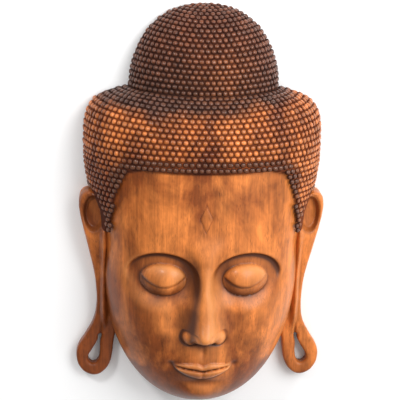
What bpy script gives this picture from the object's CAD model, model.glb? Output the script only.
import math

import bmesh
import bpy
import numpy as np
from mathutils import Matrix, Vector


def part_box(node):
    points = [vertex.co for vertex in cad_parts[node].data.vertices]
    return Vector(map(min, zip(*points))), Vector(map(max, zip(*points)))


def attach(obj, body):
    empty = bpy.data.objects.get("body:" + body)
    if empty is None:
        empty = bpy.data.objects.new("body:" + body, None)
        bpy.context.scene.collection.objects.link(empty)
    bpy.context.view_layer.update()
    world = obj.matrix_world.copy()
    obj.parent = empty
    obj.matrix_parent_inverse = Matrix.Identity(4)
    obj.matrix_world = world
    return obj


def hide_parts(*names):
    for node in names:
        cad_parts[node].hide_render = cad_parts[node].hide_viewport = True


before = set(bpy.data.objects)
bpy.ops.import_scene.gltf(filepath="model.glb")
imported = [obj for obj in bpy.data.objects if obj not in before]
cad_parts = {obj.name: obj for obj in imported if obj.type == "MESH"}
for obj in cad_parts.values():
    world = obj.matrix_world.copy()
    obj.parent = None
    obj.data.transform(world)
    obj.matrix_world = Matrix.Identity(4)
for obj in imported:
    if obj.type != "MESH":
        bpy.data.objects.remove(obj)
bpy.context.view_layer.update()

# The head
# The real mask is one block of fast-grown hardwood, cut with gouges and hollowed from behind. This piece is
# the block under its curls, with the face, the topknot's core, the back rim and the hollow. It is one
# closed grid, carved by adding heights to plain rounded rings.

mask_low, mask_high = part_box("mask")
HEIGHT = mask_high[1] - mask_low[1]
CHIN = mask_low[1]
WALL = 0.030
DEEPEST_CARVING = 0.010
CURL_RELIEF = 0.0055  # from the wood between the curls to their tops

HAIR_TOP_Y = 0.807 * HEIGHT
HAIR_WIDEST_Y = 0.655 * HEIGHT
HAIR_SLOPE_END_Y = 0.836 * HEIGHT  # where the slope of the hair's front would reach the back plane
HAIRLINE_Y = 0.626 * HEIGHT
SIDE_LOCK_TIP_Y = 0.452 * HEIGHT
TEMPLE_Y = 0.650 * HEIGHT
TOPKNOT_BASE_Y = 0.790 * HEIGHT
FACE_WIDEST_Y = 0.400 * HEIGHT

HAIR_HALF_WIDTH = 0.292 * HEIGHT
HAIR_DEPTH = 0.215 * HEIGHT
TOPKNOT_HALF_WIDTH = 0.184 * HEIGHT
TOPKNOT_DEPTH = 0.134 * HEIGHT
FACE_HALF_WIDTH = 0.245 * HEIGHT
FACE_DEPTH = 0.206 * HEIGHT
CURLS_STAND = 0.013 * HEIGHT
HAIR_ROUNDNESS = 2.15
HAIR_DOME_ROUNDNESS = 4.0
TOPKNOT_DOME_ROUNDNESS = 2.2
FACE_ROUNDNESS = 2.30
INSIDE_ROUNDNESS = 2.20
JAW_WIDTH_CURVE = (2.3, 2.2)  # powers by which the jaw's width falls away to the chin
JAW_DEPTH_CURVE = (3.2, 2.6)  # and its depth

# Hairline to brow, brow to nose and nose to chin are equal thirds, and the face is five eyes wide
FACE_THIRD = HAIRLINE_Y / 3
BROW_Y = 2 * FACE_THIRD
NOSE_BASE_Y = FACE_THIRD
EYE_Y = BROW_Y - 0.050 * HEIGHT
MOUTH_Y = NOSE_BASE_Y * 2 / 3
CHIN_Y = 0.055 * HEIGHT
EYE_WIDTH = 2 * FACE_HALF_WIDTH / 5
EYE_X = EYE_WIDTH
NOSE_HALF_WIDTH = EYE_WIDTH / 2
MOUTH_HALF_WIDTH = 0.75 * EYE_WIDTH

MARK_Y = 0.518 * HEIGHT
MARK_HEIGHT = 0.066
MARK_WIDTH = 0.031
MARK_GROOVE = 0.0024

HEAD_COLUMNS = 230
INSIDE_COLUMNS = 32
CENTRE_FINENESS = 0.35  # columns lie this much closer together down the middle of the face
ROW_SPACING_AT = (0.00, 0.44, 0.50, 0.66, 1.00)  # shares of the height
ROW_SPACING = (0.0026, 0.0026, 0.0040, 0.0060, 0.0090)  # between the grid's rows there
SHARP_EDGE = math.radians(70)
HAIR_EDGE = (-0.0010, 0.0025)  # distances into the hair between which the face turns into hair
CURL_STAIN_EDGE = (-0.0035, 0.0005)  # and those between which the stain under the curls begins
FINE_CUT = 0.0010  # depth of a cut, and of a broad hollow, that holds its full stain
BROAD_HOLLOW = 0.0070


def smooth_step(start, end, value):
    """0 at start and before it, 1 at end and past it, with a soft change between."""
    t = np.clip((value - start) / (end - start), 0.0, 1.0)
    return t * t * (3.0 - 2.0 * t)


def mound(x, y, centre_x, centre_y, reach_x, reach_y):
    """A soft round hill of height 1. Its reach is a share of the mask's height."""
    reach_x, reach_y = reach_x * HEIGHT, reach_y * HEIGHT
    return np.exp(-(((x - centre_x) / reach_x) ** 2) - ((y - centre_y) / reach_y) ** 2)


def head_ring(y):
    """Half-width, depth and roundness of the bare head at one height."""
    if y <= FACE_WIDEST_Y:
        down = (FACE_WIDEST_Y - y) / FACE_WIDEST_Y
        width = FACE_HALF_WIDTH * (1 - down ** JAW_WIDTH_CURVE[0]) ** (1 / JAW_WIDTH_CURVE[1])
        depth = FACE_DEPTH * (1 - down ** JAW_DEPTH_CURVE[0]) ** (1 / JAW_DEPTH_CURVE[1])
        return width, depth, FACE_ROUNDNESS
    up = smooth_step(FACE_WIDEST_Y, TEMPLE_Y, y)
    skull = HAIR_HALF_WIDTH - CURLS_STAND
    width = FACE_HALF_WIDTH + (skull - FACE_HALF_WIDTH) * up
    forward = smooth_step(FACE_WIDEST_Y, HAIRLINE_Y, y)
    depth = FACE_DEPTH + (HAIR_DEPTH - CURLS_STAND - FACE_DEPTH) * forward
    return width, depth, FACE_ROUNDNESS + (HAIR_ROUNDNESS - FACE_ROUNDNESS) * up


def hair_ring(y):
    """The same for the tops of the curls: square shoulders, and a front that slopes back to the topknot."""
    if y < HAIR_WIDEST_Y:
        width, depth, roundness = head_ring(y)
        return width + CURLS_STAND, depth + CURLS_STAND, roundness
    rise = min((y - HAIR_WIDEST_Y) / (HAIR_TOP_Y - HAIR_WIDEST_Y), 1.0)
    width = HAIR_HALF_WIDTH * (1 - rise**HAIR_DOME_ROUNDNESS) ** (1 / HAIR_DOME_ROUNDNESS)
    slope = min((y - HAIR_WIDEST_Y) / (HAIR_SLOPE_END_Y - HAIR_WIDEST_Y), 1.0)
    return width, HAIR_DEPTH * math.sqrt(1 - slope**2), HAIR_ROUNDNESS


def topknot_ring(y):
    """The same for the topknot."""
    rise = np.clip((y - TOPKNOT_BASE_Y) / (HEIGHT - TOPKNOT_BASE_Y), 0.0, 1.0)
    share = (1 - rise**TOPKNOT_DOME_ROUNDNESS) ** (1 / TOPKNOT_DOME_ROUNDNESS)
    return TOPKNOT_HALF_WIDTH * share, TOPKNOT_DEPTH * share, HAIR_ROUNDNESS


def reach(ring, angle):
    """How far a ring lies from the middle in each direction: 0 is +X, a quarter turn is the front."""
    width, depth, roundness = ring
    if min(width, depth) < 1e-6:
        return np.zeros(len(angle))
    across = np.abs(np.cos(angle) / width) ** roundness + np.abs(np.sin(angle) / depth) ** roundness
    return across ** (-1 / roundness)


def crown_reach(y, angle):
    """The same for hair and topknot together, whichever stands out further."""
    hair = reach(hair_ring(y), angle) if y < HAIR_TOP_Y else np.zeros(len(angle))
    knot = reach(topknot_ring(y), angle) if y > TOPKNOT_BASE_Y else np.zeros(len(angle))
    return np.maximum(hair, knot)


def ring_points(radius, y, angle):
    """The front half of a ring as points."""
    x, z = radius * np.cos(angle), radius * np.abs(np.sin(angle))
    return np.column_stack([x, np.full(len(angle), y), z])


def even_angles(shares):
    """Directions that part the widest ring of the face in the given shares of its length, from -X to +X."""
    angle = np.linspace(math.pi, 0.0, 2001)
    points = ring_points(reach((FACE_HALF_WIDTH, FACE_DEPTH, FACE_ROUNDNESS), angle), 0.0, angle)
    length = np.concatenate([[0.0], np.cumsum(np.linalg.norm(np.diff(points, axis=0), axis=1))])
    return np.interp(shares * length[-1], length, angle)


def grid_normals(points):
    """Outward unit normals of a grid of points, rows running up and columns from -X to +X."""
    across = np.gradient(points, axis=1)
    along = np.gradient(points, axis=0)
    normal = np.cross(across, along)
    return normal / np.maximum(np.linalg.norm(normal, axis=-1, keepdims=True), 1e-12)


def brow_and_socket(x, y):
    """The socket falls away sharply under the brow and softly on the cheek."""
    across = (np.abs(x) - 1.03 * EYE_X) / (0.90 * EYE_WIDTH)
    up = (y - EYE_Y) / (0.066 * HEIGHT)
    from_middle = np.sqrt(across**2 + up**2)
    above = smooth_step(-0.35, 0.35, up)
    crisp = 1 - smooth_step(0.86, 1.02, from_middle)
    soft = 1 - smooth_step(0.45, 1.25, from_middle)
    hollow = above * crisp + (1 - above) * soft
    inner = mound(np.abs(x), y, 0.046 * HEIGHT, EYE_Y, 0.026, 0.045)
    return -(0.015 * hollow + 0.009 * inner) * HEIGHT


def lash_line(x):
    """Height of the line where the closed lids meet, a shallow bow that hangs in the middle."""
    return EYE_Y - 0.018 * HEIGHT + 0.40 * (np.abs(x) - EYE_X) ** 2 / (EYE_WIDTH / 2)


def closed_eye(x, y):
    """The ball of the eye under a closed lid, with the lash line and a thin lower lid."""
    across = (np.abs(x) - EYE_X) / (0.56 * EYE_WIDTH)
    up = (y - EYE_Y + 0.004 * HEIGHT) / (0.039 * HEIGHT)
    ball = np.clip(1 - across**2 - up**2, 0.0, 1.0)
    over_eye = smooth_step(0.0, 0.20, ball)
    to_line = (y - lash_line(x)) / HEIGHT
    lower_lid = smooth_step(0.001, -0.003, to_line) * over_eye
    groove = np.exp(-((to_line / 0.0030) ** 2)) * over_eye
    return (0.025 * ball**0.55 - 0.0035 * lower_lid - 0.0030 * groove) * HEIGHT


def nose(x, y):
    """A long straight nose: narrow bridge, rounded tip and small wings."""
    root_y = BROW_Y - 0.010 * HEIGHT
    tip_y = NOSE_BASE_Y + 0.030 * HEIGHT
    down = np.clip((root_y - y) / (root_y - tip_y), 0.0, 1.0)
    lift = (0.015 + 0.039 * down**1.1) * HEIGHT
    lift = lift * smooth_step(BROW_Y + 0.075 * HEIGHT, root_y, y)
    lift = lift * smooth_step(NOSE_BASE_Y - 0.006 * HEIGHT, NOSE_BASE_Y + 0.024 * HEIGHT, y)
    half = (0.020 - 0.005 * np.sin(math.pi * np.clip(down * 1.6, 0, 1)) + 0.010 * down**2) * HEIGHT
    flare = 0.020 * HEIGHT * smooth_step(root_y - 0.01 * HEIGHT, BROW_Y + 0.045 * HEIGHT, y)
    bridge = lift / (1 + (np.abs(x) / (half + flare)) ** 3.4)
    tip = 0.012 * HEIGHT * mound(x, y, 0, tip_y, 0.026, 0.024)
    wing_x = 0.68 * NOSE_HALF_WIDTH
    wing_y = NOSE_BASE_Y + 0.018 * HEIGHT
    wing_reach = ((np.abs(x) - wing_x) / (0.021 * HEIGHT)) ** 2 + ((y - wing_y) / (0.021 * HEIGHT)) ** 2
    wing = 0.024 * HEIGHT * np.clip(1 - wing_reach, 0, 1) ** 0.55
    crease = 0.003 * HEIGHT * np.exp(-(((wing_reach - 1.20) / 0.35) ** 2))
    nostril_y = NOSE_BASE_Y + 0.002 * HEIGHT
    nostril = 0.008 * HEIGHT * mound(np.abs(x), y, 0.017 * HEIGHT, nostril_y, 0.009, 0.006)
    whole = ((bridge + tip) ** 4 + wing**4) ** 0.25
    return whole - crease * (y < wing_y + 0.020 * HEIGHT) - nostril


def mouth_line(x):
    """Height of the line between the lips, which rises a little to the corners."""
    share = np.abs(x) / MOUTH_HALF_WIDTH
    return MOUTH_Y + (0.009 * share**2 - 0.003 * np.exp(-((share / 0.18) ** 2))) * HEIGHT


def lips(x, y):
    """Full lips: a bowed upper lip and a lower lip parted in the middle, with the corners tucked in."""
    share = np.clip(np.abs(x) / MOUTH_HALF_WIDTH, 0.0, 1.0)
    line = mouth_line(x)
    bow = 0.020 - 0.017 * share**1.6 - 0.005 * np.exp(-((share / 0.13) ** 2))
    top = line + np.maximum(bow, 0.001) * HEIGHT
    bottom = line - np.maximum(0.028 * (1 - share**2.2), 0.001) * HEIGHT
    in_upper = np.clip((y - line) / (top - line), 0.0, 1.0)
    in_lower = np.clip((line - y) / (line - bottom), 0.0, 1.0)
    side = smooth_step(1.04, 0.80, np.abs(x) / MOUTH_HALF_WIDTH)
    upper = np.clip(1 - in_upper**3, 0, 1) ** 0.7 * (y < top)
    upper = np.where(y >= line, upper, 0.0)
    lower = np.clip(1 - (2 * in_lower - 0.9) ** 2 / 1.21, 0, 1) ** 0.6 * (y > bottom)
    lower = np.where(y < line, lower, 0.0)
    parting = 1 - 0.28 * np.exp(-((share / 0.07) ** 2))
    raised = (0.0095 * upper + 0.0125 * lower * parting) * side
    groove = 0.0055 * np.exp(-(((y - line) / (0.0034 * HEIGHT)) ** 2)) * side
    corner_y = mouth_line(MOUTH_HALF_WIDTH)
    corner = mound(np.abs(x), y, 1.04 * MOUTH_HALF_WIDTH, corner_y, 0.009, 0.008)
    return (raised - groove - 0.006 * corner) * HEIGHT


def soft_forms(x, y):
    """The muzzle, the groove under the nose, the chin and the dip over it, the cheeks and their inner dips."""
    total = 0.0
    for height, centre_x, centre_y, reach_x, reach_y in (
        (0.016, 0.0, MOUTH_Y + 0.008 * HEIGHT, 0.066, 0.052),
        (-0.0035, 0.0, NOSE_BASE_Y - 0.026 * HEIGHT, 0.0065, 0.016),
        (0.021, 0.0, CHIN_Y, 0.050, 0.034),
        (-0.006, 0.0, MOUTH_Y - 0.043 * HEIGHT, 0.038, 0.011),
        (0.010, 1.42 * EYE_X, NOSE_BASE_Y + 0.048 * HEIGHT, 0.060, 0.080),
        (-0.007, 0.66 * EYE_X, NOSE_BASE_Y + 0.050 * HEIGHT, 0.022, 0.060),
    ):
        side = np.abs(x) if centre_x else x
        total = total + height * mound(side, y, centre_x, centre_y, reach_x, reach_y)
    return total * HEIGHT


def forehead_mark(x, y):
    """The lozenge between hairline and brow: a cut line round a slightly raised field."""
    from_middle = np.abs(x) / (MARK_WIDTH / 2) + np.abs(y - MARK_Y) / (MARK_HEIGHT / 2)
    line = 0.5 * MARK_GROOVE / (MARK_WIDTH / 2)
    groove = np.exp(-(((from_middle - 1) / line) ** 2))
    return 0.0008 * smooth_step(1.0, 0.85, from_middle) * HEIGHT - 0.9 * MARK_GROOVE * groove


def features(x, y):
    """Everything carved on the plain egg, faded out towards the edge of the face."""
    width = np.array([head_ring(value)[0] for value in y[:, 0]])[:, None]
    fade = smooth_step(0.995, 0.86, np.abs(x) / width)
    carved = brow_and_socket(x, y) + closed_eye(x, y) + nose(x, y)
    carved = carved + lips(x, y) + soft_forms(x, y) + forehead_mark(x, y)
    return carved * fade


def face_outline():
    """The edge of the hair round the face and ears, with a narrow lock in front of each ear."""
    shares = (
        (0.000, 0.626), (0.080, 0.6265), (0.150, 0.629), (0.186, 0.618), (0.203, 0.592),
        (0.213, 0.550), (0.220, 0.503), (0.2245, 0.470), (0.2315, 0.4525), (0.2385, 0.4560),
        (0.2405, 0.480), (0.2425, 0.504), (0.2500, 0.521), (0.2620, 0.543), (0.2760, 0.554),
        (0.3000, 0.559), (0.400, 0.559), (0.400, -0.100),
    )
    right = [(x * HEIGHT, y * HEIGHT) for x, y in shares]
    left = [(-x, y) for x, y in reversed(right[1:])]
    return np.array(right + left)


def into_hair(x, y):
    """Distance from the edge of the hair, above 0 in the hair and below 0 on the face."""
    outline = face_outline()
    nearest = np.full(x.shape, np.inf)
    inside = np.zeros(x.shape, bool)
    for (ax, ay), (bx, by) in zip(outline, np.roll(outline, -1, axis=0)):
        dx, dy = bx - ax, by - ay
        t = np.clip(((x - ax) * dx + (y - ay) * dy) / (dx * dx + dy * dy), 0.0, 1.0)
        nearest = np.minimum(nearest, np.hypot(x - ax - t * dx, y - ay - t * dy))
        crosses = (ay > y) != (by > y)
        with np.errstate(divide="ignore", invalid="ignore"):
            at = ax + (y - ay) * dx / dy if dy else np.full(y.shape, np.inf)
        inside ^= crosses & (x < at)
    return np.where(inside, -nearest, nearest)


def row_heights(low, high):
    """Heights of the grid's rows, at the row spacing along the head's profile."""
    y = low + (high - low) * 0.5 * (1 - np.cos(np.linspace(0.0, math.pi, 6000)))
    front = np.array([math.pi / 2, 0.0])
    size = np.array([crown_reach(value, front) for value in y])
    bare_part = y < HAIRLINE_Y
    size[bare_part] = [head_ring(value)[:2] for value in y[bare_part]]
    step = np.sqrt(np.diff(y) ** 2 + np.minimum(np.diff(size, axis=0) ** 2, 1e-4).sum(axis=1))
    wanted = np.interp(y[1:] / HEIGHT, ROW_SPACING_AT, ROW_SPACING)
    count = np.concatenate([[0.0], np.cumsum(step / wanted)])
    return np.interp(np.linspace(0.0, count[-1], int(count[-1]) + 1), count, y)


def narrowest(y):
    """The smallest half-width and depth of the head within a wall's thickness above and below y."""
    sizes = []
    for share in np.linspace(-1.0, 1.0, 9):
        near = y + share * WALL
        ring = topknot_ring if near > TOPKNOT_BASE_Y else hair_ring if near > HAIRLINE_Y else head_ring
        sizes.append(ring(max(near, 0.0))[:2])
    return np.min(sizes, axis=0)


def inside_ring(y):
    """The hollow's half-width, depth and roundness at one height."""
    near = [narrowest(y + share * WALL) for share in np.linspace(-0.6, 0.6, 7)]
    width, depth = np.mean(near, axis=0) - (WALL, WALL + DEEPEST_CARVING)
    return max(width, 0.2 * WALL), max(depth, 0.2 * WALL), INSIDE_ROUNDNESS


def blurred(values, span):
    """Values on a grid, smoothed by a moving mean repeated three times."""
    for _ in range(3):
        for axis in (0, 1):
            margins = [(span, span) if side == axis else (0, 0) for side in (0, 1)]
            total = np.cumsum(np.pad(values, margins, mode="edge"), axis=axis)
            length = total.shape[axis]
            ahead = np.take(total, np.arange(2 * span, length), axis=axis)
            behind = np.take(total, np.arange(0, length - 2 * span), axis=axis)
            values = (ahead - behind) / (2 * span)
    return values


even = np.linspace(0.0, 1.0, HEAD_COLUMNS + 1)
angles = even_angles(even + CENTRE_FINENESS * np.sin(2 * math.pi * even) / (2 * math.pi))
heights = row_heights(0.00004 * HEIGHT, 0.99995 * HEIGHT)  # at the very ends the rings would be points
bare_rings = [reach(head_ring(min(y, HAIR_WIDEST_Y)), angles) for y in heights]
bare = np.array([ring_points(ring, y, angles) for ring, y in zip(bare_rings, heights)])
curled = np.array([ring_points(crown_reach(y, angles), y, angles) for y in heights])
curled = curled - CURL_RELIEF * grid_normals(curled)
carving = features(bare[..., 0], bare[..., 1])
edge = np.where(bare[..., 1] > HAIR_WIDEST_Y, 1.0, into_hair(bare[..., 0], bare[..., 1]))
hairy = smooth_step(*HAIR_EDGE, edge)
bare[..., 2] += carving
outside = bare * (1 - hairy[..., None]) + curled * hairy[..., None]
outside[:, [0, -1], 2] = 0.0
outside[..., 1] += CHIN

carving = np.where(edge > 0, 0.0, carving)
recess = (blurred(carving, 2) - carving) / FINE_CUT  # above 0 in a cut and below 0 on an edge
hollows = (blurred(carving, 8) - carving) / BROAD_HOLLOW
under_curls = smooth_step(*CURL_STAIN_EDGE, edge)

rows = len(outside)
inside_low = WALL + 0.012 * HEIGHT
inside_high = HEIGHT - WALL - CURL_RELIEF
climb = (outside[:, HEAD_COLUMNS // 2, 1] - CHIN) / HEIGHT
inside_y = inside_low + (inside_high - inside_low) * np.clip(climb, 0.0, 1.0)
inside_y = np.maximum.accumulate(inside_y + 1e-6 * np.arange(rows))
inside_angles = even_angles(np.linspace(0.0, 1.0, INSIDE_COLUMNS + 1))
inside_rings = [reach(inside_ring(y), inside_angles) for y in inside_y]
inside = np.array([ring_points(ring, y, inside_angles) for ring, y in zip(inside_rings, inside_y)])
inside[:, [0, -1], 2] = 0.0
inside[..., 1] += CHIN


def place_object(name, data):
    """A new object in the scene."""
    thing = bpy.data.objects.new(name, data)
    bpy.context.scene.collection.objects.link(thing)
    return thing


def store_value(mesh, name, values):
    """Keeps a value for each of a mesh's points."""
    layer = mesh.attributes.new(name, "FLOAT", "POINT")
    layer.data.foreach_set("value", np.asarray(values, np.float32))


def grid_faces(first, row_count, column_count, flip):
    """Squares of a grid whose points are numbered from first, row by row."""
    corner = first + np.arange(row_count - 1)[:, None] * column_count + np.arange(column_count - 1)
    corner = corner.ravel()
    faces = np.column_stack([corner, corner + 1, corner + column_count + 1, corner + column_count])
    return faces[:, ::-1] if flip else faces


across = HEAD_COLUMNS + 1
across_inside = INSIDE_COLUMNS + 1
first_inside = rows * across
faces = grid_faces(0, rows, across, False).tolist()
faces += grid_faces(first_inside, rows, across_inside, True).tolist()
outside_faces = (rows - 1) * HEAD_COLUMNS
for row in range(rows - 1):
    left, left_in = row * across, first_inside + row * across_inside
    right, right_in = left + across - 1, left_in + across_inside - 1
    faces.append([left, left + across, left_in + across_inside, left_in])
    faces.append([right, right_in, right_in + across_inside, right + across])
last, last_inside = (rows - 1) * across, first_inside + (rows - 1) * across_inside
faces += [
    list(range(across - 1, -1, -1)),
    list(range(last, last + across)),
    list(range(first_inside, first_inside + across_inside)),
    list(range(last_inside + across_inside - 1, last_inside - 1, -1)),
    [0, first_inside, first_inside + across_inside - 1, across - 1],
    [last, last + across - 1, last_inside + across_inside - 1, last_inside],
]

head_mesh = bpy.data.meshes.new("head")
points = np.concatenate([outside.reshape(-1, 3), inside.reshape(-1, 3)])
head_mesh.from_pydata(points.tolist(), [], faces)
for name, grid in (("recess", recess), ("hollows", hollows), ("under_curls", under_curls)):
    values = np.zeros(len(points))
    values[:grid.size] = grid.ravel()
    store_value(head_mesh, name, values)
material_index = np.ones(len(faces), np.int32)
material_index[:outside_faces] = 0
head_mesh.polygons.foreach_set("material_index", material_index)
mender = bmesh.new()
mender.from_mesh(head_mesh)
bmesh.ops.recalc_face_normals(mender, faces=mender.faces)
mender.to_mesh(head_mesh)
mender.free()
head_mesh.shade_smooth()
head_mesh.set_sharp_from_angle(angle=SHARP_EDGE)
head = place_object("head", head_mesh)


SAPWOOD = (0.60, 0.180, 0.038, 1)
MIDWOOD = (0.215, 0.050, 0.009, 1)
HEARTWOOD = (0.108, 0.040, 0.021, 1)
OPEN_PORES = (0.040, 0.013, 0.005, 1)
STAIN_IN_HOLLOWS = (0.110, 0.030, 0.010, 1)
STAIN_IN_CUTS = (0.085, 0.025, 0.010, 1)
RUBBED_FORMS = (0.66, 0.23, 0.058, 1)
RUBBED_EDGES = (0.70, 0.28, 0.09, 1)
STAIN_UNDER_CURLS = (0.24, 0.16, 0.13, 1)  # multiplies the wood's own colour
BARE_SAPWOOD = (0.46, 0.22, 0.095, 1)
BARE_MIDWOOD = (0.34, 0.155, 0.065, 1)
BARE_HEARTWOOD = (0.20, 0.085, 0.042, 1)


def feed(node, inputs):
    """Gives each of a node's inputs, by name or number, a value or the output that is to drive it."""
    for place, value in inputs.items():
        if isinstance(value, bpy.types.NodeSocket):
            node.id_data.links.new(value, node.inputs[place])
        else:
            node.inputs[place].default_value = value


def add_node(tree, kind, inputs, **settings):
    """A new node with its settings made and its inputs fed."""
    node = tree.nodes.new(kind)
    for name, value in settings.items():
        setattr(node, name, value)
    feed(node, inputs)
    return node


def math_node(tree, operation, *values, clamp=False):
    """What a sum on up to three values gives."""
    inputs = dict(enumerate(values))
    return add_node(tree, "ShaderNodeMath", inputs, operation=operation, use_clamp=clamp).outputs[0]


def share_of(tree, value, factor, offset=0.0):
    """value times factor plus offset, kept between 0 and 1."""
    return math_node(tree, "MULTIPLY_ADD", value, factor, offset, clamp=True)


def mixed(tree, share, first, second, blend="MIX"):
    """The first colour with this share of the second."""
    inputs = {0: share, 6: first, 7: second}
    return add_node(tree, "ShaderNodeMix", inputs, data_type="RGBA", blend_type=blend).outputs[2]


def stored_value(tree, name):
    """A value that the mesh holds at each of its points."""
    return add_node(tree, "ShaderNodeAttribute", {}, attribute_name=name).outputs["Fac"]


def wood_figure():
    """Colour of the block: a dark heart at the top, patches of orange and brown below, and streaks."""
    tree = bpy.data.node_groups.new("wood_figure", "ShaderNodeTree")
    for name, kind, value in (
        ("Position", "NodeSocketVector", None),
        ("Sapwood", "NodeSocketColor", SAPWOOD),
        ("Midwood", "NodeSocketColor", MIDWOOD),
        ("Heartwood", "NodeSocketColor", HEARTWOOD),
        ("Streaks", "NodeSocketFloat", 1.0),
    ):
        socket = tree.interface.new_socket(name, in_out="INPUT", socket_type=kind)
        if value is not None:
            socket.default_value = value
    tree.interface.new_socket("Color", in_out="OUTPUT", socket_type="NodeSocketColor")
    for name in ("Grain", "Pores"):
        tree.interface.new_socket(name, in_out="OUTPUT", socket_type="NodeSocketFloat")
    start = tree.nodes.new("NodeGroupInput").outputs

    def stretched(stretch, shift=(0, 0, 0)):
        inputs = {"Vector": start["Position"], "Location": shift, "Scale": stretch}
        return add_node(tree, "ShaderNodeMapping", inputs).outputs[0]

    def noise(place, size, detail, roughness=0.5, distortion=0.0):
        return add_node(tree, "ShaderNodeTexNoise", {
            "Vector": place, "Scale": size, "Detail": detail,
            "Roughness": roughness, "Distortion": distortion,
        }).outputs["Fac"]

    def squared_distance(value, factor, offset):
        from_middle = math_node(tree, "MULTIPLY_ADD", value, factor, offset)
        return math_node(tree, "POWER", math_node(tree, "ABSOLUTE", from_middle), 2.0)

    # The heart lies above a bowed and wandering line that is a little higher at the right
    x, y = add_node(tree, "ShaderNodeSeparateXYZ", {0: start["Position"]}).outputs[:2]
    wander = math_node(tree, "MULTIPLY_ADD", noise(stretched((1, 0.6, 1)), 12.0, 3.0), 0.07, -0.035)
    bowed = math_node(tree, "MULTIPLY_ADD", math_node(tree, "MULTIPLY", x, x), -0.6, y)
    heart = math_node(tree, "ADD", bowed, wander)
    heart = math_node(tree, "MULTIPLY_ADD", x, -0.06, heart)
    in_heart = share_of(tree, heart, 30.0, -7.0)

    # It pales towards the top, and a paler flame shows in the topknot
    rising = math_node(tree, "MULTIPLY", share_of(tree, y, 9.0, -2.7), 0.40)
    from_flame = math_node(tree, "ADD", squared_distance(x, 15.0, -0.6), squared_distance(y, 17.0, -5.8))
    flame = math_node(tree, "EXPONENT", math_node(tree, "MULTIPLY", from_flame, -1.0))
    heart_color = mixed(tree, rising, start["Heartwood"], start["Midwood"])
    heart_color = mixed(tree, math_node(tree, "MULTIPLY", flame, 0.26), heart_color, start["Sapwood"])

    # Below it lie pale patches, more of them on the right of the face and fewer at its foot
    below_hair = share_of(tree, y, -9.0, 1.9)
    paler = math_node(tree, "MULTIPLY_ADD", math_node(tree, "MULTIPLY", x, below_hair), 2.6, -1.95)
    paler = math_node(tree, "MULTIPLY_ADD", share_of(tree, y, -5.0, -1.30), -1.2, paler)
    patches = share_of(tree, noise(stretched((1.0, 0.50, 1.0)), 8.5, 5.0, 0.58, 0.5), 5.2, paler)
    color = mixed(tree, patches, start["Midwood"], start["Sapwood"])
    color = mixed(tree, in_heart, color, heart_color)

    # Fine and broad streaks run up the grain, with blotches across them
    streaks = noise(stretched((1.0, 0.045, 1.0)), 210.0, 4.0, 0.65, 0.2)
    broad = noise(stretched((1.0, 0.08, 1.0)), 46.0, 3.0, 0.5, 0.4)
    blotches = noise(stretched((1.0, 0.8, 1.0), (0.3, 0.1, 0.0)), 34.0, 4.0, 0.6, 0.8)
    shade = 0.0
    for pattern, strength in ((streaks, 1.1), (broad, 1.0), (blotches, 0.9)):
        shade = math_node(tree, "MULTIPLY_ADD", math_node(tree, "SUBTRACT", pattern, 0.5), strength, shade)
    shade = math_node(tree, "MULTIPLY_ADD", shade, start["Streaks"], 1.0)
    tone = add_node(tree, "ShaderNodeCombineXYZ", {0: shade, 1: shade, 2: shade})
    color = mixed(tree, 1.0, color, tone.outputs[0], "MULTIPLY")

    # Long open pores are scattered over it
    cells = add_node(tree, "ShaderNodeTexVoronoi", {"Vector": stretched((1.0, 0.16, 1.0)), "Scale": 330.0})
    from_pore = math_node(tree, "DIVIDE", cells.outputs["Distance"], 0.34)
    pores = math_node(tree, "SUBTRACT", 1.0, from_pore, clamp=True)
    scatter = share_of(tree, noise(stretched((1, 0.3, 1)), 50.0, 2.0), 4.5, -1.8)
    pores = math_node(tree, "MULTIPLY", pores, scatter)
    color = mixed(tree, math_node(tree, "MULTIPLY", pores, 0.75), color, OPEN_PORES)
    add_node(tree, "NodeGroupOutput", {"Color": color, "Grain": streaks, "Pores": pores})
    return tree


figure = wood_figure()


def wood_material(name):
    """A wood finish with the block's figure. Returns the material, its tree, the shader and the figure."""
    material = bpy.data.materials.new(name)
    material.use_nodes = True
    tree = material.node_tree
    shader = tree.nodes["Principled BSDF"]
    feed(shader, {"Specular IOR Level": 0.26, "Coat Roughness": 0.18})
    place = add_node(tree, "ShaderNodeTexCoord", {}).outputs["Object"]
    wood = add_node(tree, "ShaderNodeGroup", {"Position": place}, node_tree=figure)
    return material, tree, shader, wood


def polished_wood():
    """Stained and oiled wood: dark stain stays in the cuts, edges are rubbed lighter, and pores show."""
    material, tree, shader, wood = wood_material("polished_wood")
    plain, grain, pores = wood.outputs
    recess, hollows = stored_value(tree, "recess"), stored_value(tree, "hollows")
    under_curls = stored_value(tree, "under_curls")
    color = mixed(tree, share_of(tree, hollows, 0.45), plain, STAIN_IN_HOLLOWS)
    color = mixed(tree, share_of(tree, recess, 0.27, -0.04), color, STAIN_IN_CUTS)
    color = mixed(tree, share_of(tree, hollows, -0.22), color, RUBBED_FORMS)
    color = mixed(tree, share_of(tree, recess, -0.10, -0.03), color, RUBBED_EDGES)
    foot = mixed(tree, 1.0, plain, STAIN_UNDER_CURLS, "MULTIPLY")
    color = mixed(tree, share_of(tree, under_curls, 0.97), color, foot)
    relief = math_node(tree, "SUBTRACT", share_of(tree, grain, 0.35), pores)
    bump = add_node(tree, "ShaderNodeBump", {"Strength": 0.5, "Distance": 0.0006, "Height": relief})
    feed(shader, {
        "Base Color": color,
        "Roughness": math_node(tree, "MULTIPLY_ADD", under_curls, 0.45, share_of(tree, grain, 0.30, 0.27)),
        "Coat Weight": share_of(tree, under_curls, -0.10, 0.10),
        "Normal": bump.outputs[0],
    })
    return material


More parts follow.
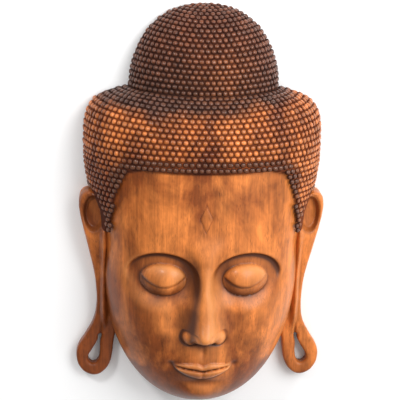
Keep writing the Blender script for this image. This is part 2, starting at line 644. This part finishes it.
def rough_wood():
    """The bare back and hollow: the same wood without stain or polish, with the marks of a wide gouge."""
    material, tree, shader, wood = wood_material("rough_wood")
    feed(wood, {"Sapwood": BARE_SAPWOOD, "Midwood": BARE_MIDWOOD, "Heartwood": BARE_HEARTWOOD})
    place = add_node(tree, "ShaderNodeTexCoord", {}).outputs["Object"]
    drawn_out = add_node(tree, "ShaderNodeMapping", {"Vector": place, "Scale": (1.0, 0.45, 1.0)})
    scoops = add_node(tree, "ShaderNodeTexVoronoi", {"Vector": drawn_out.outputs[0], "Scale": 48.0})
    relief = scoops.outputs["Distance"]
    bump = add_node(tree, "ShaderNodeBump", {"Strength": 0.6, "Distance": 0.004, "Height": relief})
    feed(shader, {"Base Color": wood.outputs["Color"], "Roughness": 0.72, "Normal": bump.outputs[0]})
    return material


polished = polished_wood()
head_mesh.materials.append(polished)
head_mesh.materials.append(rough_wood())
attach(head, "root")
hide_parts("mask")

# The ears
# Long ears in one with the head: a rounded rim round a hollow at the top, a narrow strap beside the jaw and
# a broad lobe pierced by a drop-shaped hole. Each is a thick plate with rounded edges, carved on its front.

EAR_THICKNESS = 0.034
EAR_ROUNDING = 0.008
EAR_VOXEL = 0.0019
EAR_BACK_STEP = 0.0005  # the ears' backs stay this far in front of the head's flat rim
LOBE_HOLE_LENGTH = 0.080
LOBE_HOLE_WIDTH = 0.031
LOBE_HOLE_X = 0.2630 * HEIGHT
LOBE_HOLE_FOOT_Y = 0.0875 * HEIGHT
BOWL_X = 0.2640 * HEIGHT  # the hollow in the ear's upper part
BOWL_Y = 0.4925 * HEIGHT
BOWL_HALF_WIDTH = 0.0262 * HEIGHT
BOWL_HALF_HEIGHT = 0.0490 * HEIGHT


def ear_outline():
    """The ear seen from the front."""
    shares = (
        (0.240, 0.522), (0.258, 0.542), (0.279, 0.5465), (0.2930, 0.5385), (0.2995, 0.5180),
        (0.297, 0.490), (0.2885, 0.452), (0.2765, 0.402), (0.264, 0.345), (0.2575, 0.295),
        (0.2565, 0.250), (0.264, 0.205), (0.2845, 0.164), (0.3040, 0.130), (0.3065, 0.103),
        (0.297, 0.0765), (0.279, 0.0605), (0.257, 0.0565), (0.238, 0.067), (0.223, 0.089),
        (0.2165, 0.118), (0.213, 0.152), (0.203, 0.200), (0.2165, 0.300), (0.2215, 0.370),
        (0.2310, 0.450),
    )
    return [(x * HEIGHT, y * HEIGHT) for x, y in shares]


def lobe_hole_outline():
    """A drop with its point up, leaning out at the foot."""
    shares = (
        (-0.98, 1.00), (-0.56, 0.77), (0.34, 0.46), (0.92, 0.24), (0.74, 0.08), (0.00, 0.00),
        (-0.62, 0.10), (-0.92, 0.31), (-0.98, 0.68),
    )
    half_width = LOBE_HOLE_WIDTH / 2
    return [(LOBE_HOLE_X + x * half_width, LOBE_HOLE_FOOT_Y + y * LOBE_HOLE_LENGTH) for x, y in shares]


def near_lobe_hole(x, y):
    """Whether a point is in the lobe's hole or on its walls."""
    across = (x - LOBE_HOLE_X) / (0.62 * LOBE_HOLE_WIDTH)
    up = (y - LOBE_HOLE_FOOT_Y - 0.5 * LOBE_HOLE_LENGTH) / (0.58 * LOBE_HOLE_LENGTH)
    return np.hypot(across, up) < 1


def line_up_ear(x, y, middle, reach_x, foot, top):
    """A soft upright line of height 1. It fades in over the heights in foot and out over those in top."""
    line = mound(x, 0.0, middle * HEIGHT, 0.0, reach_x, 1.0)
    line = line * smooth_step(foot[0] * HEIGHT, foot[1] * HEIGHT, y)
    return line * smooth_step(top[1] * HEIGHT, top[0] * HEIGHT, y)


def ear_front(x, y):
    """How far the ear's front stands over the lobe's plain thickness, and how deep in the carving it is."""
    upper = smooth_step(0.300 * HEIGHT, 0.460 * HEIGHT, y)
    slant = np.clip((0.300 * HEIGHT - x) / (0.060 * HEIGHT), 0.0, 1.0)
    stand = (0.022 + 0.030 * slant) * upper
    strap = 0.016 * (1 - upper) * smooth_step(0.160 * HEIGHT, 0.280 * HEIGHT, y)
    up = (y - BOWL_Y) / BOWL_HALF_HEIGHT
    from_middle = np.sqrt(((x - BOWL_X) / BOWL_HALF_WIDTH) ** 2 + up**2)
    bowl = 1 - smooth_step(0.70, 0.98, from_middle)
    step = smooth_step(1.08, 1.04, from_middle) * smooth_step(-0.75, -0.20, up)
    rim = np.exp(-(((from_middle - 1.24) / 0.16) ** 2))
    roll = line_up_ear(x, y, 0.2385, 0.0070, (0.170, 0.230), (0.430, 0.470))
    seam = line_up_ear(x, y, 0.2490, 0.0018, (0.190, 0.240), (0.400, 0.455))
    crease = line_up_ear(x, y, 0.2455, 0.0024, (0.160, 0.168), (0.175, 0.215))
    height = stand + strap - 0.0195 * bowl - 0.0028 * step + 0.002 * rim
    height = height + 0.016 * roll - 0.002 * seam - 0.006 * crease
    wall = np.exp(-(((from_middle - 0.90) / 0.13) ** 2))
    depth = 0.45 * bowl + 1.0 * wall + 0.2 * step - 0.4 * rim
    depth = depth + 0.8 * seam + 1.4 * crease - 0.2 * roll
    return height * HEIGHT, depth


def evaluated_mesh(thing):
    """The plain mesh of an object with its modifiers, or of a curve."""
    bpy.context.scene.collection.objects.link(thing)
    bpy.context.view_layer.update()
    result = bpy.data.meshes.new_from_object(thing.evaluated_get(bpy.context.evaluated_depsgraph_get()))
    bpy.data.objects.remove(thing)
    return result


def ear_plate(side):
    """The plain plate of one ear, as an even mesh. side is 1 at +X and -1 at -X."""
    curve = bpy.data.curves.new("ear_plate", "CURVE")
    curve.dimensions = "2D"
    curve.fill_mode = "BOTH"
    curve.extrude = EAR_THICKNESS / 2 - EAR_ROUNDING
    curve.bevel_depth = EAR_ROUNDING
    curve.bevel_resolution = 4
    curve.offset = -EAR_ROUNDING
    curve.resolution_u = 10
    for outline in (ear_outline(), lobe_hole_outline()):
        spline = curve.splines.new("BEZIER")
        spline.bezier_points.add(len(outline) - 1)
        for point, (x, y) in zip(spline.bezier_points, outline):
            point.co = (side * x, y + CHIN, 0.0)
            point.handle_left_type = "AUTO"
            point.handle_right_type = "AUTO"
        spline.use_cyclic_u = True
    plate = bpy.data.objects.new("ear_whole", evaluated_mesh(bpy.data.objects.new("ear_curve", curve)))
    remesh = plate.modifiers.new("even_mesh", "REMESH")
    remesh.mode = "VOXEL"
    remesh.voxel_size = EAR_VOXEL
    return evaluated_mesh(plate)


for side, name in ((1, "ear_right"), (-1, "ear_left")):  # right and left as seen from the front
    ear_mesh = ear_plate(side)
    ear_mesh.name = name
    points = np.empty(len(ear_mesh.vertices) * 3, np.float32)
    ear_mesh.vertices.foreach_get("co", points)
    points = points.reshape(-1, 3).astype(float)
    points[:, 2] += EAR_THICKNESS / 2
    on_front = smooth_step(0.30 * EAR_THICKNESS, 0.85 * EAR_THICKNESS, points[:, 2])
    x, y = side * points[:, 0], points[:, 1] - CHIN
    stand, depth = ear_front(x, y)
    points[:, 2] += on_front * stand
    points[:, 2] = np.maximum(points[:, 2], EAR_BACK_STEP)
    ear_mesh.vertices.foreach_set("co", points.astype(np.float32).ravel())
    ear_mesh.update()
    depth = np.maximum(on_front * depth, 1.5 * (1 - on_front) * near_lobe_hole(x, y))
    store_value(ear_mesh, "recess", 0.5 * depth)
    store_value(ear_mesh, "hollows", depth)
    ear_mesh.shade_smooth()
    ear_mesh.materials.append(polished)
    ear = place_object(name, ear_mesh)
    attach(ear, "root")
    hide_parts("mask")

# The curls
# Over a thousand small round curls in level rows, each left standing between cuts of a narrow gouge, so
# that no two are quite alike. Dark stain fills the cuts and the tops are rubbed bright.

CURL_LENGTH = 0.0150  # along a row
CURL_ROW = 0.0130
TOPKNOT_CURL_LENGTH = 0.0142
TOPKNOT_CURL_ROW = 0.0122
CURL_FULLNESS = 0.95  # share of its place that each curl fills
CURL_UNEVENNESS = 0.08
CURL_SIDES = 12
CURL_ROUNDNESS = 2.4  # 2 is round and more is squarer
CURL_CLEARANCE = 0.34 * CURL_LENGTH  # from a curl's middle to the edge of the face
BACK_CLEARANCE = 0.55 * CURL_LENGTH  # and to the back plane
TOPKNOT_FOOT_DROP = 0.003  # the topknot's first row starts this far down in the hair
EDGE_STAIN = 0.029  # dark stain is left on the curls this near the face
RUBBED_FROM = 0.28  # share of a curl's height, above which it is rubbed bright
STAIN_NEAR_FACE = (0.130, 0.043, 0.017, 1)
STAIN_AT_FEET = (0.28, 0.19, 0.15, 1)  # multiplies the wood's own colour


def curl_shape():
    """One curl in a box 2 wide, 2 high and 1 deep: a squarish dome, with its own height stored on it."""
    shape = bmesh.new()
    outline = []
    for place in range(CURL_SIDES):
        angle = 2 * math.pi * (place + 0.5) / CURL_SIDES
        outline.append([math.copysign(abs(value) ** (2 / CURL_ROUNDNESS), value)
                        for value in (math.cos(angle), math.sin(angle))])
    rings = []
    for radius, up in ((1.00, -0.35), (0.94, 0.26), (0.74, 0.70), (0.38, 0.94)):
        rings.append([shape.verts.new((radius * x, radius * y, up)) for x, y in outline])
    top = shape.verts.new((0, 0, 1))
    for lower_ring, upper_ring in zip(rings, rings[1:]):
        for place in range(CURL_SIDES):
            after = (place + 1) % CURL_SIDES
            shape.faces.new((lower_ring[place], lower_ring[after], upper_ring[after], upper_ring[place]))
    for place in range(CURL_SIDES):
        shape.faces.new((rings[-1][place], rings[-1][(place + 1) % CURL_SIDES], top))
    shape.faces.new(list(reversed(rings[0])))
    mesh = bpy.data.meshes.new("curl_shape")
    shape.to_mesh(mesh)
    shape.free()
    mesh.shade_smooth()
    store_value(mesh, "crown", [max(vertex.co.z, 0.0) for vertex in mesh.vertices])
    return place_object("curl_shape", mesh)


round_angles = even_angles(np.linspace(0.0, 1.0, 301))


def surface_of(ring_at, y):
    """Rows of points round a form, one row at each height."""
    return np.array([ring_points(reach(ring_at(value), round_angles), value, round_angles) for value in y])


def meeting_heights():
    """Where the hair meets the topknot, in every direction."""
    y = np.linspace(TOPKNOT_BASE_Y, HAIR_TOP_Y, 400)
    hair = np.array([reach(hair_ring(value), round_angles) for value in y])
    knot = np.array([reach(topknot_ring(value), round_angles) for value in y])
    return y[np.argmax(knot >= hair, axis=0)]


def rising_rows(ring_at, starts, ends, row_height):
    """Rows that part the way up a form evenly in each direction: their heights and distances apart."""
    y = np.linspace(starts.min(), ends.max(), 1200)
    steps = np.linalg.norm(np.diff(surface_of(ring_at, y), axis=0), axis=2)
    run = np.concatenate([np.zeros((1, len(round_angles))), np.cumsum(steps, axis=0)])
    first = np.array([np.interp(start, y, run[:, place]) for place, start in enumerate(starts)])
    last = np.array([np.interp(end, y, run[:, place]) for place, end in enumerate(ends)])
    count = round((last - first)[len(round_angles) // 2] / row_height)
    rows = []
    for row in range(count):
        wanted = first + (last - first) * (row + 0.5) / count
        row_y = np.array([np.interp(at, run[:, place], y) for place, at in enumerate(wanted)])
        rows.append((row_y, (last - first) / count))
    return rows


def has_room(point, normal):
    """Whether a curl stands clear of the back plane and, low in the hair, of the face and ears."""
    if point[2] <= BACK_CLEARANCE:
        return False
    if point[1] > HAIR_WIDEST_Y:
        return True
    from_edge = into_hair(point[:1], point[1:2])[0] / max(abs(normal[2]), 0.25)
    return from_edge > CURL_CLEARANCE


def along_line(at, run, values):
    """Values of a line of points, read at one distance along it."""
    return np.array([np.interp(at, run, values[:, axis]) for axis in range(3)])


def curl_places(ring_at, rows, length):
    """Foot, facing, row direction and size of every curl, laid like bricks from the middle of each row."""
    low = min(row_y.min() for row_y, _ in rows) - 0.001
    high = max(row_y.max() for row_y, _ in rows) + 0.0005
    y = np.linspace(low, high, 900)
    surface = surface_of(ring_at, y)
    normals = grid_normals(surface)
    column = np.arange(len(round_angles))
    places = []
    for number, (row_y, apart) in enumerate(rows):
        position = (row_y - low) / (high - low) * (len(y) - 1)
        below = np.clip(position.astype(int), 0, len(y) - 2)
        share = (position - below)[:, None]
        line = surface[below, column] * (1 - share) + surface[below + 1, column] * share
        facing = normals[below, column] * (1 - share) + normals[below + 1, column] * share
        facing /= np.linalg.norm(facing, axis=1, keepdims=True)
        run = np.concatenate([[0.0], np.cumsum(np.linalg.norm(np.diff(line, axis=0), axis=1))])
        along = np.gradient(line, axis=0)
        middle = run[len(run) // 2] + (0.5 * length if number % 2 else 0.0)
        for step in range(-int(middle / length), int((run[-1] - middle) / length) + 1):
            at = middle + step * length
            point, normal, direction = [along_line(at, run, values) for values in (line, facing, along)]
            if has_room(point, normal):
                size = (length / 2, np.interp(at, run, apart) / 2, CURL_RELIEF)
                foot = point - CURL_RELIEF * normal + np.array([0.0, CHIN, 0.0])
                places.append((foot, normal, direction / np.linalg.norm(direction), size))
    return [np.array(values) for values in zip(*places)]


def curl_tree():
    """Geometry Nodes that stand one curl on each point, squared to its row and each a little different."""
    tree = bpy.data.node_groups.new("carved_curls", "GeometryNodeTree")
    for name, kind in (
        ("Geometry", "Geometry"), ("Curl", "Object"), ("Fullness", "Float"), ("Unevenness", "Float"),
        ("Seed", "Int"), ("Finish", "Material"),
    ):
        tree.interface.new_socket(name, in_out="INPUT", socket_type="NodeSocket" + kind)
    tree.interface.new_socket("Geometry", in_out="OUTPUT", socket_type="NodeSocketGeometry")
    start = tree.nodes.new("NodeGroupInput").outputs

    def stored(name):
        kind = "GeometryNodeInputNamedAttribute"
        return add_node(tree, kind, {"Name": name}, data_type="FLOAT_VECTOR").outputs[0]

    def random(low, high, seed_offset):
        inputs = {2: low, 3: high, "Seed": math_node(tree, "ADD", start["Seed"], seed_offset)}
        value = add_node(tree, "FunctionNodeRandomValue", inputs, data_type="FLOAT")
        return math_node(tree, "MULTIPLY", value.outputs[1], start["Unevenness"])

    def turned_to(axis, direction, inputs, **settings):
        inputs = {"Vector": stored(direction), **inputs}
        return add_node(tree, "FunctionNodeAlignRotationToVector", inputs, axis=axis, **settings).outputs[0]

    def combined(operation, first, second):
        return add_node(tree, "ShaderNodeVectorMath", {0: first, 1: second}, operation=operation).outputs[0]

    upright = turned_to("Z", "facing", {})
    squared = turned_to("X", "along_row", {"Rotation": upright}, pivot_axis="Z")
    lean = add_node(tree, "ShaderNodeCombineXYZ", {0: random(-3.0, 3.0, 4), 1: random(-3.0, 3.0, 5)})
    leaning = add_node(tree, "FunctionNodeEulerToRotation", {0: lean.outputs[0]})
    turned = add_node(tree, "FunctionNodeRotateRotation",
                      {0: squared, 1: leaning.outputs[0]}, rotation_space="LOCAL")
    wobble = add_node(tree, "ShaderNodeCombineXYZ", {
        0: random(-1.2, 1.0, 1), 1: random(-1.2, 1.0, 2), 2: random(-3.0, 0.0, 3),
    })
    scale = combined("MULTIPLY", combined("ADD", wobble.outputs[0], start["Fullness"]), stored("size"))

    points = add_node(tree, "GeometryNodeMeshToPoints", {"Mesh": start["Geometry"]})
    shape = add_node(tree, "GeometryNodeObjectInfo", {"Object": start["Curl"]})
    stand = add_node(tree, "GeometryNodeInstanceOnPoints", {
        "Points": points.outputs[0], "Instance": shape.outputs["Geometry"],
        "Rotation": turned.outputs[0], "Scale": scale,
    })
    tone = add_node(tree, "GeometryNodeStoreNamedAttribute",
                    {"Geometry": stand.outputs[0], "Name": "tone", "Value": random(-10.0, 10.0, 6)},
                    data_type="FLOAT", domain="INSTANCE")
    real = add_node(tree, "GeometryNodeRealizeInstances", {0: tone.outputs[0]})
    finish = add_node(tree, "GeometryNodeSetMaterial",
                      {"Geometry": real.outputs[0], "Material": start["Finish"]})
    add_node(tree, "NodeGroupOutput", {0: finish.outputs[0]})
    return tree


def curl_wood():
    """The curls' finish: the block's figure, dark red-brown at the foot and rubbed bright at the crown."""
    material, tree, shader, wood = wood_material("curl_wood")
    feed(wood, {"Streaks": 0.35})
    ramp = add_node(tree, "ShaderNodeValToRGB", {0: stored_value(tree, "crown")})
    ramp.color_ramp.elements[0].position = RUBBED_FROM
    rubbed = ramp.outputs[0]
    tone = math_node(tree, "MULTIPLY_ADD", stored_value(tree, "tone"), 0.35, 1.0)
    varied = add_node(tree, "ShaderNodeHueSaturation", {"Value": tone, "Color": wood.outputs["Color"]})
    body = mixed(tree, stored_value(tree, "near_edge"), varied.outputs[0], STAIN_NEAR_FACE)
    foot = mixed(tree, 1.0, body, STAIN_AT_FEET, "MULTIPLY")
    dull = add_node(tree, "ShaderNodeMapRange", {"Value": rubbed, "To Min": 0.80, "To Max": 0.28})
    feed(shader, {
        "Base Color": mixed(tree, rubbed, foot, body),
        "Roughness": dull.outputs[0],
        "Coat Weight": math_node(tree, "MULTIPLY", rubbed, 0.45),
    })
    return material


def grow_curls(name, places, seed):
    """Stands a curl on each place and returns them as one plain mesh object."""
    feet, facings, directions, sizes = places
    guide = bpy.data.meshes.new(name + "_places")
    guide.from_pydata(feet.tolist(), [], [])
    for layer_name, vectors in (("facing", facings), ("along_row", directions), ("size", sizes)):
        layer = guide.attributes.new(layer_name, "FLOAT_VECTOR", "POINT")
        layer.data.foreach_set("vector", vectors.astype(np.float32).ravel())
    x, y = feet[:, 0], feet[:, 1] - CHIN
    stained = EDGE_STAIN * (0.35 + 0.65 * smooth_step(0.560 * HEIGHT, 0.620 * HEIGHT, y))
    near_edge = smooth_step(stained + 0.007, stained - 0.007, into_hair(x, y))
    store_value(guide, "near_edge", near_edge)
    rows_of_curls = bpy.data.objects.new(name + "_rows", guide)
    maker = rows_of_curls.modifiers.new("carve_curls", "NODES")
    maker.node_group = curls
    values = {
        "Curl": one_curl, "Fullness": CURL_FULLNESS, "Unevenness": CURL_UNEVENNESS, "Seed": seed,
        "Finish": curl_finish,
    }
    for item in curls.interface.items_tree:
        if item.in_out == "INPUT" and item.name in values:
            maker[item.identifier] = values[item.name]
    mesh = evaluated_mesh(rows_of_curls)
    mesh.name = name
    return place_object(name, mesh)


one_curl = curl_shape()
curls = curl_tree()
curl_finish = curl_wood()

meeting = meeting_heights()
all_round = np.ones(len(round_angles))
lock_heights = np.arange(HAIR_WIDEST_Y - CURL_ROW / 2, SIDE_LOCK_TIP_Y - CURL_ROW / 2, -CURL_ROW)
hair_rows = [(all_round * y, all_round * CURL_ROW) for y in reversed(lock_heights)]
hair_rows += rising_rows(hair_ring, all_round * HAIR_WIDEST_Y, meeting, CURL_ROW)
knot_foot, knot_top = meeting - TOPKNOT_FOOT_DROP, all_round * 0.9995 * HEIGHT
knot_rows = rising_rows(topknot_ring, knot_foot, knot_top, TOPKNOT_CURL_ROW)
hair_places = curl_places(hair_ring, hair_rows, CURL_LENGTH)
knot_places = curl_places(topknot_ring, knot_rows, TOPKNOT_CURL_LENGTH)
for name, places, seed in (("hair_curls", hair_places, 11), ("topknot_curls", knot_places, 23)):
    piece = grow_curls(name, places, seed)
    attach(piece, "root")
    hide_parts("mask")
bpy.data.objects.remove(one_curl)

# The floor
# The mask lies on its back on a plain, nearly white studio floor.

FLOOR_SIZE = 12.0
FLOOR_COLOR = (0.93, 0.93, 0.93, 1)

bpy.ops.mesh.primitive_plane_add(size=FLOOR_SIZE)
floor = bpy.context.object
floor.name = "studio_floor"
paint = bpy.data.materials.new("pale_floor")
paint.use_nodes = True
feed(paint.node_tree.nodes["Principled BSDF"], {"Base Color": FLOOR_COLOR, "Roughness": 0.9})
floor.data.materials.append(paint)

# The light
# Two soft boxes over the mask, a broad one at the right and a small one at the left as seen from the front,
# in a white room that is brightest above and behind the broad box.

MIDDLE = Vector((0.0, 0.0, 0.10))
BROAD_BOX_PLACE, BROAD_BOX_SIZE, BROAD_BOX_POWER = (1.6, 1.2, 2.1), 1.9, 70
SMALL_BOX_PLACE, SMALL_BOX_SIZE, SMALL_BOX_POWER = (-1.3, 1.7, 1.9), 0.45, 30
BRIGHTEST_SIDE = (0.85, 0.50, 0.17)
ROOM_DIMMEST = 0.18
ROOM_BRIGHTEST = 0.95


def soft_box(name, place, size, power):
    """A square light aimed at the mask's middle."""
    light = bpy.data.lights.new(name, "AREA")
    light.size = size
    light.energy = power
    lamp = place_object(name, light)
    lamp.location = place
    lamp.rotation_euler = (MIDDLE - Vector(place)).to_track_quat("-Z", "Y").to_euler()


soft_box("broad_box", BROAD_BOX_PLACE, BROAD_BOX_SIZE, BROAD_BOX_POWER)
soft_box("small_box", SMALL_BOX_PLACE, SMALL_BOX_SIZE, SMALL_BOX_POWER)
room = bpy.data.worlds.new("white_room")
room.use_nodes = True
view = add_node(room.node_tree, "ShaderNodeTexCoord", {}).outputs["Generated"]
to_bright = add_node(room.node_tree, "ShaderNodeVectorMath",
                     {0: view, 1: BRIGHTEST_SIDE}, operation="DOT_PRODUCT")
strength = add_node(room.node_tree, "ShaderNodeMapRange", {
    "Value": to_bright.outputs["Value"],
    "From Min": -0.9, "From Max": 0.9, "To Min": ROOM_DIMMEST, "To Max": ROOM_BRIGHTEST,
})
feed(room.node_tree.nodes["Background"], {"Color": (1, 1, 1, 1), "Strength": strength.outputs[0]})
bpy.context.scene.world = room
bpy.context.scene.view_settings.view_transform = "Standard"

# The camera
# A long lens over the face, a little towards the top of the head and the left ear.

CAMERA_YAW = math.radians(4.5)
CAMERA_PITCH = math.radians(16.0)
CAMERA_ROLL = math.radians(-1.4)
CAMERA_DISTANCE = 3.2
CAMERA_LENS = 119.0
CAMERA_SHIFT = (-0.0069, 0.0313)
CAMERA_TARGET = Vector((0.0, 0.0, 0.08))

level_part = math.cos(CAMERA_PITCH)
toward = Vector((-math.sin(CAMERA_YAW) * level_part, math.sin(CAMERA_PITCH), math.cos(CAMERA_YAW) * level_part))
level = Vector((0, 1, 0)).cross(toward).normalized()
upward = toward.cross(level)
side_axis = level * math.cos(CAMERA_ROLL) - upward * math.sin(CAMERA_ROLL)
up_axis = level * math.sin(CAMERA_ROLL) + upward * math.cos(CAMERA_ROLL)
lens = bpy.data.cameras.new("camera")
lens.lens = CAMERA_LENS
lens.shift_x, lens.shift_y = CAMERA_SHIFT
camera = place_object("camera", lens)
turn = Matrix((side_axis, up_axis, toward)).transposed().to_4x4()
camera.matrix_world = Matrix.Translation(CAMERA_TARGET + CAMERA_DISTANCE * toward) @ turn
bpy.context.scene.camera = camera
